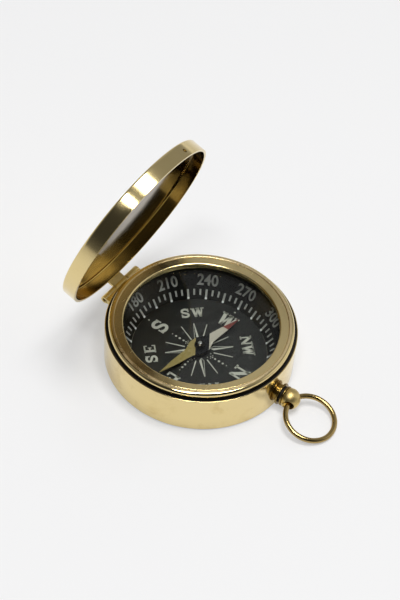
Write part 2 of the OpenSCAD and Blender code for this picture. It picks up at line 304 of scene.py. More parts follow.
def drawn_steel(name, base, rough):
    """Cold-drawn steel. The eye sees a grey mirror with fine lines along its length."""
    material, tree = blank(name)
    where = put(tree, "TexCoord").outputs["Object"]
    lay = put(tree, "Mapping", {"Vector": where,
              "Scale": (1 / (3 * MM), 1 / (0.1 * MM), 1 / (0.1 * MM))})
    lines = put(tree, "TexNoise", {"Vector": lay, "Scale": 1.0,
                "Detail": 2.0})
    dull = put(tree, "MapRange", {"Value": lines, "From Min": 0.3,
               "From Max": 0.7, "To Min": rough * 0.7, "To Max": rough * 1.3})
    shader = put(tree, "BsdfPrincipled", {"Base Color": linear(base), "Metallic": 1.0,
                 "Roughness": dull})
    return done(material, shader)


def glossy_table(name, base):
    """A pale table with a hard gloss coat. The eye sees soft shadows and a faint mirror."""
    material, tree = blank(name)
    where = put(tree, "TexCoord").outputs["Object"]
    wide = put(tree, "TexNoise", {"Vector": where, "Scale": 1 / (400 * MM)})
    full = linear(base)
    deep = [c * 0.985 for c in full[:3]] + [1.0]
    tint = put(tree, "Mix", {"Factor": wide, "A": full, "B": deep},
               data_type="RGBA")
    shader = put(tree, "BsdfPrincipled", {"Base Color": tint.outputs["Result"],
                 "Roughness": 0.12, "Specular IOR Level": 0.4})
    # Part of what is seen or mirrored is an even pale sheet; the rest keeps the shadows.
    even = put(tree, "Emission", {"Color": linear("F8F8F9"), "Strength": 1.0})
    path = put(tree, "LightPath")
    seen = put(tree, "Math", {0: path.outputs["Is Camera Ray"],
               1: path.outputs["Is Glossy Ray"]}, operation="MAXIMUM")
    seen = put(tree, "Math", {0: seen,
               1: path.outputs["Is Transmission Ray"]}, operation="MAXIMUM")
    share = put(tree, "Math", {0: seen, 1: 0.42}, operation="MULTIPLY")
    mix = put(tree, "MixShader", {0: share, 1: shader,
              2: even})
    return done(material, mix)


def finishes():
    """Makes every finish once and returns them by name."""
    c = bpy.context.scene.compass_finishes
    return {
        "case": turned_brass("buffed_brass", "turned and buffed", c.brass, c.worn, 0.13,
                             0.35, 0.75),
        "bezel": turned_brass("mirror_brass", "turned and mirror buffed", c.brass, c.worn, 0.09),
        "face": turned_brass("faced_brass", "faced on the lathe, left satin", "E2CB9C", c.worn,
                             0.29, 0.5, 0.15),
        "ring": turned_brass("satin_brass", "turned and lightly buffed", c.brass, c.worn, 0.2,
                             0.5),
        "lid": turned_brass("pressed_brass", "pressed and buffed", c.brass, c.worn, 0.12, 0.3),
        "worn": turned_brass("handled_brass", "turned, darkened by handling", "DDC584",
                             c.tarnish, 0.3, 0.4, 0.5),
        # A darker copy of the brass with tarnish, painted shade, for the collar, the stem's bead
        # and the catch rivet.
        "collar": turned_brass("painted_shade_brass", "turned, stained brown", "8F7A45",
                               c.tarnish, 0.16, 0.4, 0.9),
        # A darker copy of the brass, painted shade, for the bow ring.
        "wire": turned_brass("shaded_wire_brass", "drawn wire, bent and soldered", "AE9660",
                             c.tarnish, 0.12, 0.3, 0.5),
        "cap": turned_brass("dull_cap_brass", "turned, lacquered black", "2C2822", c.tarnish,
                            0.1, 0.2, 0.1),
        # Near-black brass that is painted shade with some dirt. It is used in the groove, along the
        # case's foot, low on the bezel's wall and in the stem's neck.
        "recess": lacquer("grime_and_painted_shade", "left dull in the recess", "120D06", 0.6, 0.25),
        # Painted shade: the lid's inside is a darker copy of the brass, darkening further higher up
        # the open lid.
        "inner": turned_brass("shaded_inner_brass", "pressed from bright sheet, not buffed",
                              "C4A65A", "57441B", 0.085, 0.5, 0.5, (27, 40)),
        "dial": lacquer("satin_black_lacquer", "sprayed", c.lacquer, 0.42, 0.3),
        "ring_black": lacquer("gloss_black_lacquer", "sprayed", "121211", 0.22, 0.5),
        "print": lacquer("screen_print", "printed", c.print, 0.6, 0.3),
        "scale": lacquer("scale_print", "printed", "B0AFAC", 0.35, 0.5),
        # Painted highlight: brighter dots at the foot of the long ticks stand in for the glint on
        # the ring's rounded foot.
        "bead": lacquer("painted_glint_print", "printed thick", "F4F4F4", 0.3, 0.5),
        "red": lacquer("red_lacquer", "dipped", c.red, 0.3),
        "white": lacquer("white_lacquer", "dipped", c.white, 0.45),
        "brown": lacquer("amber_lacquer", "dipped", c.brown, 0.3),
        "dark": drawn_steel("blued_steel", "2E2F31", 0.2),
        "steel": drawn_steel("drawn_steel", "B9B9B6", 0.25),
        "glass": window_glass("window_glass"),
        "jewel": ruby("ruby"),
        "card": pressed_card("pressed_card"),
    }


# ------------------------------------------------------------- mesh helpers

def piece(name, bm, body, materials, replaces=(), smooth=32):
    """Turns a finished bmesh, in millimetres, into a piece that rides on a body."""
    bmesh.ops.scale(bm, vec=(MM, MM, MM), verts=bm.verts)
    mesh = bpy.data.meshes.new(name)
    bm.to_mesh(mesh)
    bm.free()
    for material in materials:
        mesh.materials.append(material)
    mesh.shade_smooth()
    mesh.set_sharp_from_angle(angle=radians(smooth))
    old = bpy.data.objects.get(name)
    if old:
        bpy.data.objects.remove(old)
    thing = bpy.data.objects.new(name, mesh)
    bpy.context.scene.collection.objects.link(thing)
    even = thing.modifiers.new("even shading", "WEIGHTED_NORMAL")
    even.keep_sharp = True
    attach(thing, body)
    if replaces:
        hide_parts(*replaces)
    return thing


def shade(bm, inside, index=1):
    """Gives the faces whose middles pass a test one of the piece's other materials."""
    for face in bm.faces:
        if inside(face.calc_center_median()):
            face.material_index = index


def bevel_corner(bm, vert, width, segments):
    """Rounds one corner of a flat outline."""
    bmesh.ops.bevel(bm, geom=[vert], offset=width, offset_type="OFFSET", affect="VERTICES",
                    segments=segments, profile=0.5, material=-1)


def outline(corners, segments=5):
    """A flat face in the XZ plane. Each corner is its radius, its height and its rounding."""
    bm = bmesh.new()
    verts = [bm.verts.new((c[0], 0, c[1])) for c in corners]
    bm.faces.new(verts)
    for vert, corner in zip(verts, corners):
        if len(corner) > 2 and corner[2] > 0:
            bevel_corner(bm, vert, corner[2], corner[3] if len(corner) > 3 else segments)
    # A narrow strip at each end of a long edge keeps its shading flat up to the rounding.
    for edge in bm.edges[:]:
        long = edge.calc_length()
        if long > 0.3 and max(v.co.x for v in edge.verts) > 0.2:
            first, last = edge.verts
            bmesh.utils.edge_split(edge, first, 0.05 / long)
            rest = next(e for e in last.link_edges if e.calc_length() > long - 0.06
                        and first not in e.verts)
            bmesh.utils.edge_split(rest, last, 0.05 / (long - 0.05))
    return bm


def spin_round(bm, steps):
    """Spins a profile all the way round Z and closes the surface."""
    bmesh.ops.spin(bm, geom=bm.verts[:] + bm.edges[:], cent=(0, 0, 0), axis=(0, 0, 1),
                   dvec=(0, 0, 0), angle=2 * pi, steps=steps, use_merge=True,
                   use_normal_flip=False, use_duplicate=False)
    bmesh.ops.remove_doubles(bm, verts=bm.verts[:], dist=MERGE)
    bmesh.ops.recalc_face_normals(bm, faces=bm.faces[:])
    return bm


def turned(corners, steps=192, segments=5):
    """A body of revolution about Z, made by spinning an outline all the way round."""
    bm = outline(corners, segments)
    bmesh.ops.delete(bm, geom=bm.faces[:], context="FACES_ONLY")
    axis = [e for e in bm.edges if all(abs(v.co.x) < 1e-6 for v in e.verts)]
    bmesh.ops.delete(bm, geom=axis, context="EDGES")
    return spin_round(bm, steps)


def block(low, high, round_to=0.0, segments=3):
    """A box between two corners, with its edges rounded."""
    bm = bmesh.new()
    bmesh.ops.create_cube(bm, size=1.0)
    low, high = Vector(low), Vector(high)
    bmesh.ops.scale(bm, vec=high - low, verts=bm.verts)
    bmesh.ops.translate(bm, vec=(low + high) / 2, verts=bm.verts)
    if round_to:
        bmesh.ops.bevel(bm, geom=bm.edges[:], offset=round_to, offset_type="OFFSET",
                        affect="EDGES", segments=segments, profile=0.5, material=-1)
    return bm


def join(parts):
    """Adds the later bmeshes of a list to the first one."""
    target = parts[0]
    for other in parts[1:]:
        mesh = bpy.data.meshes.new("join")
        other.to_mesh(mesh)
        other.free()
        target.from_mesh(mesh)
        bpy.data.meshes.remove(mesh)
    return target


def move(bm, matrix):
    """Turns and moves a whole bmesh."""
    bmesh.ops.transform(bm, matrix=matrix, verts=bm.verts)
    return bm


def cut(bm, *cutters):
    """Cuts closed bmeshes out of a closed bmesh."""
    scratch = []
    for number, source in enumerate((bm,) + cutters):
        mesh = bpy.data.meshes.new(f"cut_{number}")
        source.to_mesh(mesh)
        source.free()
        thing = bpy.data.objects.new(f"cut_{number}", mesh)
        bpy.context.scene.collection.objects.link(thing)
        scratch.append(thing)
    for tool in scratch[1:]:
        boolean = scratch[0].modifiers.new("cut", "BOOLEAN")
        boolean.operation, boolean.solver, boolean.object = "DIFFERENCE", "EXACT", tool
    bpy.context.view_layer.update()
    shaped = scratch[0].evaluated_get(bpy.context.evaluated_depsgraph_get())
    result = bmesh.new()
    result.from_mesh(shaped.to_mesh())
    shaped.to_mesh_clear()
    for thing in scratch:
        mesh = thing.data
        bpy.data.objects.remove(thing)
        bpy.data.meshes.remove(mesh)
    return result


def flat_shape(points, thick):
    """A thin plate from an outline in the XY plane, standing on z = 0."""
    bm = bmesh.new()
    face = bm.faces.new([bm.verts.new((p[0], p[1], 0)) for p in points])
    face.normal_update()
    if face.normal.z > 0:
        bmesh.ops.reverse_faces(bm, faces=[face])
    made = bmesh.ops.extrude_face_region(bm, geom=[face])
    top = [g for g in made["geom"] if isinstance(g, bmesh.types.BMVert)]
    bmesh.ops.translate(bm, vec=(0, 0, thick), verts=top)
    bmesh.ops.recalc_face_normals(bm, faces=bm.faces[:])
    return bm


def stroke(points, width, thick):
    """A thin plate of even width along a path in the XY plane."""
    path = [Vector(p) for p in points]
    left, right = [], []
    for i, p in enumerate(path):
        before = path[i - 1] if i else p
        after = path[i + 1] if i < len(path) - 1 else p
        way = (after - before).normalized()
        side = Vector((-way.y, way.x)) * width / 2
        left.append(p + side)
        right.append(p - side)
    parts = []
    for i in range(len(path) - 1):
        parts.append(flat_shape([left[i], left[i + 1], right[i + 1], right[i]], thick))
    return join(parts)


def lid_stands():
    """The matrix that opens the closed lid to where it stands, in millimetres."""
    turn = Matrix.Rotation(radians(LID_OPEN), 4, Vector(LIMITS["lid_hinge"]["axis"]))
    return Matrix.Translation(HINGE) @ turn @ Matrix.Translation(-HINGE)


def along_stem(corners, steps=96, segments=5):
    """A turned part on the stem's axis. Each corner is its radius and its distance along -Y."""
    bm = turned(corners, steps, segments)
    lay = Matrix.Translation((0, 0, EYE.z)) @ Matrix.Rotation(radians(90), 4, "X")
    return move(bm, lay)


# -------------------------------------------------------------- dial print

def arc(cx, cy, rx, ry, start, stop, count=12):
    """Points on an ellipse from one angle to another, in degrees."""
    return [(cx + rx * cos(radians(start + (stop - start) * i / count)),
             cy + ry * sin(radians(start + (stop - start) * i / count)))
            for i in range(count + 1)]


def letter(sign):
    """A slab-serif capital, one unit high and about one unit wide, centred on the origin."""
    thin, fat, serif = 0.13, 0.23, 0.12
    low, high = -0.5, 0.5
    if sign == "N":
        bars = [((-0.34, low), (-0.34, high), thin), ((0.34, low), (0.34, high), thin),
                ((-0.33, high - 0.1), (0.33, low + 0.1), fat),
                ((-0.5, low + serif / 2), (-0.16, low + serif / 2), serif),
                ((-0.5, high - serif / 2), (-0.24, high - serif / 2), serif),
                ((0.16, high - serif / 2), (0.5, high - serif / 2), serif)]
    elif sign == "E":
        bars = [((-0.24, low), (-0.24, high), fat),
                ((-0.42, low + serif / 2), (0.38, low + serif / 2), serif),
                ((-0.42, high - serif / 2), (0.36, high - serif / 2), serif),
                ((-0.2, 0.0), (0.14, 0.0), serif), ((0.11, -0.15), (0.11, 0.15), 0.09),
                ((0.36, low), (0.36, low + 0.3), 0.1), ((0.34, high), (0.34, high - 0.28), 0.1)]
    elif sign == "W":
        bars = [((-0.42, high), (-0.2, low), fat), ((-0.2, low), (0.02, high - 0.1), thin),
                ((0.02, high), (0.22, low), fat), ((0.22, low), (0.42, high), thin),
                ((-0.6, high - serif / 2), (-0.24, high - serif / 2), serif),
                ((-0.14, high - serif / 2), (0.18, high - serif / 2), serif),
                ((0.28, high - serif / 2), (0.6, high - serif / 2), serif)]
    else:
        spine = (arc(0.0, 0.23, 0.27, 0.2, 20, 180, 10) + arc(0.0, 0.21, 0.27, 0.19, 190, 250, 5)
                 + arc(0.0, -0.21, 0.28, 0.19, 70, 0, 6)
                 + arc(0.0, -0.23, 0.28, 0.2, -10, -160, 10))
        parts = [stroke(spine, fat * 0.86, 1.0)]
        parts += [stroke([(0.28, 0.12), (0.28, 0.5)], 0.1, 1.0),
                  stroke([(-0.29, -0.12), (-0.29, -0.5)], 0.1, 1.0)]
        return join(parts)
    parts = [stroke([a, b], w, 1.0) for a, b, w in bars]
    return join(parts)


def word(signs, height, thick):
    """One or two letters side by side, centred on the origin, in millimetres."""
    parts = []
    for i, sign in enumerate(signs):
        part = letter(sign)
        bmesh.ops.scale(part, vec=(height * 0.98, height, thick), verts=part.verts)
        step = height * 1.1 * (i - (len(signs) - 1) / 2)
        bmesh.ops.translate(part, vec=(step, 0, 0), verts=part.verts)
        parts.append(part)
    return join(parts)


def toward(bearing, radius, height):
    """The matrix that carries a flat shape, its top outward, to a bearing on the dial."""
    turn = Matrix.Rotation(radians(180 - bearing), 4, "Z")
    return turn @ Matrix.Translation((0, radius, height))


def dial_print_shapes(sizes):
    """The letters, rays and dots of the dial, as thin plates."""
    thick, shapes = 0.03, []
    for k, sign in enumerate(("N", "NE", "E", "SE", "S", "SW", "W", "NW")):
        tall = sizes.cardinal if len(sign) == 1 else sizes.between
        shapes.append(move(word(sign, tall, thick), toward(45 * k, sizes.letters, 0)))
    inner, outer = sizes.ray_inner, sizes.ray_outer
    for k in range(16):
        if k % 4 == 0:
            continue
        bearing = 22.5 * k
        if k % 2:
            ray = flat_shape([(-0.16, inner + 0.6), (0.16, inner + 0.6), (0.1, outer),
                              (-0.1, outer)], thick)
        else:
            ray = flat_shape([(0, inner - 0.4), (0.62, inner + 0.5), (0.13, outer), (0, outer)],
                             thick)
            edge = stroke([(0, inner - 0.4), (-0.62, inner + 0.5), (-0.05, outer)], 0.12, thick)
            ray = join([ray, edge])
        shapes.append(move(ray, toward(bearing, 0, 0)))
    for k in range(4):
        for radius, size in ((3.7, 0.14), (4.3, 0.18), (5.1, 0.26), (6.35, 0.31), (7.55, 0.27),
                             (8.7, 0.14)):
            dot = flat_shape(arc(0, 0, size, size, 0, 345, 23), thick)
            shapes.append(move(dot, toward(90 * k, radius, 0)))
        for side in (-1, 1):
            for radius, out in ((4.0, 0.5), (3.2, 0.75)):
                dot = flat_shape(arc(side * out, 0, 0.13, 0.13, 0, 330, 11), thick)
                shapes.append(move(dot, toward(90 * k, radius, 0)))
        dot = flat_shape(arc(0, 0, 0.24, 0.24, 0, 345, 23), thick)
        shapes.append(move(dot, toward(90 * k, 16.5, 0)))
    return join(shapes)


def on_cone(bm, bearing, foot, top):
    """Bends a flat shape on to the degree ring's cone. Its Y runs up the cone from the foot."""
    slope = Vector((top[0] - foot[0], top[1] - foot[1])).normalized()
    for vert in bm.verts:
        side, up, out = vert.co
        radius = foot[0] + slope.x * up - slope.y * out
        height = foot[1] + slope.y * up + slope.x * out
        angle = radians(270 - bearing) - side / radius
        vert.co = (radius * cos(angle), radius * sin(angle), height)
    return bm


def number(text, height, thick):
    """A degree number in the plain built-in typeface, as a thin plate."""
    curve = bpy.data.curves.new("number", "FONT")
    curve.body = text
    curve.size = 1.0
    curve.align_x = "CENTER"
    curve.resolution_u = 4
    curve.offset = 0.018
    curve.extrude = 0.5
    thing = bpy.data.objects.new("number", curve)
    bpy.context.scene.collection.objects.link(thing)
    bpy.context.view_layer.update()
    shaped = thing.evaluated_get(bpy.context.evaluated_depsgraph_get())
    bm = bmesh.new()
    bm.from_mesh(shaped.to_mesh())
    shaped.to_mesh_clear()
    bpy.data.objects.remove(thing)
    bpy.data.curves.remove(curve)
    tall = max(v.co.y for v in bm.verts)
    scale = height / tall
    bmesh.ops.scale(bm, vec=(scale * 0.92, scale, thick), verts=bm.verts)
    return bm


# --------------------------------------------------------------- operators

class COMPASS_OT_case(bpy.types.Operator):
    """Build the turned case"""
    bl_idname = "compass.case"
    bl_label = "Case"

    def execute(self, context):
        s = context.scene.compass_case
        look = finishes()
        seat, bore = s.height - s.groove, s.radius - s.wall
        bm = turned([
            (0, 0), (s.radius - 1.2, 0, 0.05), (s.radius - 0.3, 0.06, 0.1), (s.radius, 0.34, 0.12),
            (s.radius, s.height, 0.11), (s.radius - s.lip, s.height, 0.07),
            (s.radius - s.lip - s.groove / 4, seat, 0.08), (bore, seat, 0.08),
            (bore, s.floor, 0.2), (0, s.floor)], 256)
        # Painted shade with some dirt: the groove round the bezel is near black.
        shade(bm, lambda p: seat - 0.02 < p.z < s.height - 0.06 and p.xy.length < s.radius - 0.13)
        # Painted shade: a dark strip runs along the case's foot where it meets the table.
        shade(bm, lambda p: p.z < 0.34 and p.xy.length > s.radius - 0.4)
        piece("case_shell", bm, "case", [look["case"], look["recess"]],
              ["case_body"])
        return {"FINISHED"}


class COMPASS_OT_bezel(bpy.types.Operator):
    """Build the bezel, the retaining ring and the glass"""
    bl_idname = "compass.bezel"
    bl_label = "Bezel and glass"

    def execute(self, context):
        s = context.scene.compass_case
        look = finishes()
        seat = s.height - s.groove
        low = edges_of("bezel_ring")[0].z
        top, out, hole = s.bezel_top, s.bezel_radius, s.bezel_hole
        glass_low, glass_high = edges_of("glass")
        ledge = glass_high.z + 0.02
        bm = turned([
            (hole, ledge, 0.03), (hole, top - 0.12, 0.05), (hole + 0.14, top, 0.08),
            *[(out - s.crown + s.crown * sin(radians(a)),
               top - s.crown - 0.05 + s.crown * cos(radians(a)))
              for a in range(5, 90, 6)], (out, top - s.clean),
            (out, seat, 0.06),
            (SKIRT_OUT, seat, 0.04), (SKIRT_OUT, low, 0.08), (SKIRT_IN, low, 0.08),
            (SKIRT_IN, ledge, 0.04)], 256)
        # Painted shade with some dirt: the bezel's wall below its bright band is near black.
        shade(bm, lambda p: p.xy.length > out - 0.1 and p.z < top - s.clean)
        shade(bm, lambda p: p.xy.length < out - s.crown and p.z > top - 0.2, 2)
        piece("bezel", bm, "case", [look["bezel"], look["recess"], look["face"]],
              ["bezel_ring"])
        ring_low, ring_high = edges_of("retaining_ring")
        bm = turned([
            (s.window, ledge, 0.05), (ring_high.x, ledge, 0.05),
            (ring_high.x, ring_high.z - 0.1, 0.04), (ring_high.x - 0.1, ring_high.z, 0.06),
            (s.window, ring_high.z - 0.36, 0.42, 8)], 256)
        piece("retainer", bm, "case", [look["ring"]], ["retaining_ring"])
        bm = turned([
            (0, glass_low.z), (glass_high.x, glass_low.z, 0.06),
            (glass_high.x, glass_high.z, 0.06), (0, glass_high.z)], 128, 2)
        piece("window", bm, "case", [look["glass"]], ["glass"])
        return {"FINISHED"}


class COMPASS_OT_dial(bpy.types.Operator):
    """Build the dial with its printed rose, and the degree ring with its scale"""
    bl_idname = "compass.dial"
    bl_label = "Dial and degree ring"

    def execute(self, context):
        s = context.scene.compass_dial
        look = finishes()
        low = edges_of("dial")[0].z
        bm = turned([(0.95, low, 0.05), (s.radius, low, 0.05), (s.radius, s.top, 0.08),
                     (0.95, s.top, 0.05)], 192, 3)
        piece("dial_plate", bm, "case", [look["dial"]], ["dial"])
        bm = dial_print_shapes(s)
        bmesh.ops.translate(bm, vec=(0, 0, s.top - 0.005), verts=bm.verts)
        piece("dial_print", bm, "case", [look["print"]])
        ring_low, ring_high = edges_of("degree_ring")
        foot, top = (CONE_FOOT_R, ring_low.z + 0.35), (CONE_TOP_R, CONE_TOP_Z)
        bm = turned([
            (foot[0], ring_low.z, 0.05), (foot[0], foot[1], 0.16, 6), (top[0], top[1], 0.5, 6),
            (top[0], ring_high.z, 0.1), (ring_high.x, ring_high.z, 0.1),
            (ring_high.x, top[1] - 0.2, 0.4), (foot[0] + 0.52, ring_low.z, 0.05)], 256)
        piece("scale_ring", bm, "case", [look["ring_black"]], ["degree_ring"])
        shapes = []
        for k in range(72):
            bearing, long_mark = 5 * k, k % 3 == 0
            wide, start = (0.27, 0.02) if long_mark else (0.24, 0.95)
            rungs = [start + (2.55 - start) * i / 4 for i in range(5)]
            tick = stroke([(0, r) for r in rungs], wide * 2, 0.05)
            shapes.append(on_cone(tick, bearing, foot, top))
            # Each long tick ends in a brighter dot, which is a painted highlight.
            if long_mark:
                bead = flat_shape(arc(0, 0.16, 0.33, 0.33, 0, 330, 11), 0.08)
                shade(bead, lambda p: True)
                shapes.append(on_cone(bead, bearing, foot, top))
        for k in range(12):
            shape = number(str(30 * k), s.number, 0.05)
            bmesh.ops.translate(shape, vec=(0, 3.75, 0), verts=shape.verts)
            shapes.append(on_cone(shape, 30 * k, foot, top))
        bm = join(shapes)
        piece("scale_print", bm, "case", [look["scale"], look["bead"]])
        return {"FINISHED"}


class COMPASS_OT_needle(bpy.types.Operator):
    """Build the needle and its cap, and finish the pivot"""
    bl_idname = "compass.needle"
    bl_label = "Needle and pivot"

    def execute(self, context):
        look = finishes()
        low, high = edges_of("needle")
        ends = [v.co / MM for v in frame["nodes"]["needle"].data.vertices]
        tip = max(ends, key=lambda p: p.xy.length + (1e-3 if p.x > 0 else 0))
        half = tip.xy.length
        way = Vector((tip.x, tip.y)).normalized()
        wide = 2.6
        neck, waist = 2 * wide * 0.16, 2 * wide * 0.27
        side = [(half, 0), (half * 0.65, neck), (half * 0.25, waist), (half * 0.08, wide),
                (-half * 0.08, wide), (-half * 0.25, waist), (-half * 0.65, neck), (-half, 0)]
        plan = side + [(x, -y) for x, y in reversed(side[1:-1])]
        bm = flat_shape(plan, high.z - low.z)
        bmesh.ops.bevel(bm, geom=bm.edges[:], offset=0.03, offset_type="OFFSET",
                        affect="EDGES", segments=2, profile=0.5, material=-1)
        # Where each paint edge crosses the needle's middle, and how it leans: the ends of the red
        # tip, of the white half and of the bare band. What lies beyond them is brown.
        paint = ((9.3, 0.25), (3.5, -0.98), (-1.5, -0.98))
        for place, lean in paint:
            bmesh.ops.bisect_plane(bm, geom=bm.verts[:] + bm.edges[:] + bm.faces[:],
                                   dist=1e-5, plane_co=(place, 0, 0), plane_no=(1, lean, 0))
        for face in bm.faces:
            mid = face.calc_center_median()
            face.material_index = next((i for i, (place, lean) in enumerate(paint)
                                        if mid.x + lean * mid.y > place), len(paint))
        turn = Matrix(((way.x, -way.y, 0, 0), (way.y, way.x, 0, 0), (0, 0, 1, low.z),
                       (0, 0, 0, 1)))
        move(bm, turn)
        piece("needle_blade", bm, "needle_body",
              [look["red"], look["white"], look["dark"], look["brown"]], ["needle"])
        cap_low, cap_high = edges_of("needle_cap")
        top = cap_high.z
        bm = turned([
            (0.75, cap_low.z, 0.03), (1.15, cap_low.z, 0.03), (1.15, high.z, 0.02),
            (1.42, high.z, 0.03), (1.42, high.z + 0.2, 0.05), (1.36, high.z + 0.24, 0.03),
            (1.35, top - 0.42, 0.12), (0.95, top - 0.12, 0.3), (0.5, top, 0.2), (0, top),
            (0, top - 0.3), (0.75, top - 0.3, 0.03)], 96)
        # Painted highlight: the top of the cap's crown is bright steel so that it shows a glint.
        shade(bm, lambda p: p.xy.length < 0.52 and p.z > top - 0.15)
        piece("needle_hub", bm, "needle_body", [look["cap"], look["steel"]],
              ["needle_cap"])
        for node, finish in (("cap_jewel", "jewel"), ("pivot_pin", "steel"),
                             ("pivot_post", "worn"), ("dial_backing", "card"),
                             ("spring_ring", "steel"), ("stem_nut", "steel")):
            slots = frame["nodes"][node].data.materials
            for i in range(len(slots)):
                slots[i] = look[finish]
        return {"FINISHED"}


class COMPASS_OT_lid(bpy.types.Operator):
    """Build the pressed lid with its catch rivet"""
    bl_idname = "compass.lid"
    bl_label = "Lid"

    def execute(self, context):
        s, case = context.scene.compass_lid, context.scene.compass_case
        look = finishes()
        rim = case.height + LID_GAP
        top, out = rim + s.depth, case.radius
        bm = turned([
            (0, top), (out, top, s.edge, 8), (out, rim, 0.08), (out - s.wall, rim, 0.12),
            (out - s.wall, top - s.wall, 0.45, 6), (0, top - s.wall)], 256)
        middle = rim + (s.depth - s.wall) / 2
        rivet_low, rivet_high = edges_of("lid_catch")
        round_rim = asin((rivet_low.x + rivet_high.x) / 2 / (out - s.wall / 2))
        drill = turned([(0, out - 2), (s.catch + 0.02, out - 2), (s.catch + 0.02, out + 1),
                        (0, out + 1)], 32)
        aim = (Matrix.Rotation(round_rim, 4, "Z") @ Matrix.Translation((0, 0, middle))
               @ Matrix.Rotation(radians(90), 4, "X"))
        bm = cut(bm, move(drill, aim))
        # The lid's inside takes the darker brass copy, which is painted shade.
        shade(bm, lambda p: p.z < top - s.wall + 0.02 and p.xy.length < out - s.wall + 0.02)
        move(bm, lid_stands())
        piece("lid_cup", bm, "lid", [look["lid"], look["inner"]], ["lid_shell"])
        rivet = turned([
            (0, out - s.wall - 0.15), (s.catch, out - s.wall - 0.15, 0.12),
            (s.catch, out - 0.2, 0.1), (s.catch * 0.5, out - 0.2, 0.04),
            (s.catch * 0.4, out - 0.36, 0.04), (0, out - 0.36)], 48)
        move(rivet, lid_stands() @ aim)
        # The rivet takes the darker brass copy, painted shade in its dimple.
        piece("catch_rivet", rivet, "lid", [look["collar"]], ["lid_catch"])
        return {"FINISHED"}


class COMPASS_OT_hinge(bpy.types.Operator):
    """Build the hinge knuckles and their pin"""
    bl_idname = "compass.hinge"
    bl_label = "Hinge"

    def execute(self, context):
        s, case = context.scene.compass_lid, context.scene.compass_case
        look = finishes()
        eye_y, eye_z = HINGE.y, HINGE.z
        side = Matrix.Translation((0, eye_y, eye_z)) @ Matrix.Rotation(radians(90), 4, "Y")

        def eye(low, high):
            """A tube along X round the hinge axis, its ends rounded."""
            bm = turned([(s.pin + 0.03, low, 0.06), (s.knuckle, low, 0.14),
                         (s.knuckle, high, 0.14), (s.pin + 0.03, high, 0.06)], 64)
            return move(bm, side)

        for name, node in (("hinge_left", "case_knuckle_left"),
                           ("hinge_right", "case_knuckle_right")):
            low, high = edges_of(node)
            saddle = block((low.x, low.y - 0.3, eye_z - 0.8),
                           (high.x, eye_y - s.pin - 0.12, eye_z + 0.8), 0.12)
            bm = join([eye(low.x, high.x), saddle])
            piece(name, bm, "case", [look["worn"]], [node])
        low, high = edges_of("lid_knuckle")
        rim = case.height + LID_GAP
        leaf = block((low.x, eye_y - 0.8, eye_z + s.pin + 0.1), (high.x, eye_y, rim + 2.2), 0.12)
        pad = block((low.x, case.radius - 0.45, rim + 0.02), (high.x, eye_y - 0.1, rim + 2.15), 0.1)
        bm = join([eye(low.x, high.x), leaf, pad])
        move(bm, lid_stands())
        piece("hinge_middle", bm, "lid", [look["worn"]], ["lid_knuckle"])
        low, high = edges_of("hinge_pin")
        pin = move(turned([(0, low.x), (s.pin, low.x, 0.12), (s.pin, high.x, 0.12), (0, high.x)],
                          48), side)
        piece("hinge_rod", pin, "case", [look["steel"]], ["hinge_pin"])
        return {"FINISHED"}


class COMPASS_OT_stem(bpy.types.Operator):
    """Build the stem with its collar and ball"""
    bl_idname = "compass.stem"
    bl_label = "Stem"

    def execute(self, context):
        s, case = context.scene.compass_stem, context.scene.compass_case
        look = finishes()
        wall = case.radius
        collar = wall + 1.1
        bm = along_stem([
            (1.3, wall - 0.6), (2.3, wall - 0.6), (2.3, wall + 0.6, 0.05),
            (s.collar, wall + 0.6, 0.14), (s.collar, collar, 0.16), (1.3, collar, 0.05)])
        piece("collar", bm, "case", [look["collar"]], ["stem_collar"])
        bead, groove = collar + 0.6, 2.3
        heart = bead + 0.5 + 0.6 * s.ball - 0.48
        reach = heart + s.ball
        start = abs(edges_of("stem")[1].y)
        ball = [(s.ball * sin(radians(a)), heart - s.ball * cos(radians(a)))
                for a in range(40, 180, 7)]
        profile = [(0, start), (1.25, start, 0.1), (1.25, collar + 0.02),
                   (groove, collar + 0.02, 0.05), (groove, bead, 0.04),
                   (s.ball - 0.05, bead, 0.14), (s.ball - 0.05, bead + 0.5, 0.14),
                   (groove, bead + 0.5 + 0.02, 0.02)]
        profile += [p for p in ball if p[1] > bead + 0.55]
        profile += [(0, reach)]
        bm = along_stem(profile, 96, 4)
        flare = turned([(0, -s.ball - 0.4), (s.hole + 0.9, -s.ball - 0.4),
                        (s.hole + 0.1, -0.9, 0.3), (s.hole, 0, 0.2), (s.hole + 0.1, 0.9, 0.3),
                        (s.hole + 0.9, s.ball + 0.4), (0, s.ball + 0.4)], 64)
        move(flare, Matrix.Translation(EYE) @ Matrix.Rotation(radians(90), 4, "Y"))
        # Painted shade: the stem's neck by the collar is near black, and the bead's rim takes the
        # darker brass copy.
        shade(bm, lambda p: -p.y < heart - 0.4 * s.ball and hypot(p.x, p.z - EYE.z) < groove + 0.1)
        shade(bm, lambda p: bead - 0.1 < -p.y < bead + 0.54
              and hypot(p.x, p.z - EYE.z) > groove + 0.1, 2)
        bm = cut(bm, flare)
        piece("stem_ball", bm, "case",
              [look["worn"], look["recess"], look["collar"]], ["stem"], 40)
        return {"FINISHED"}


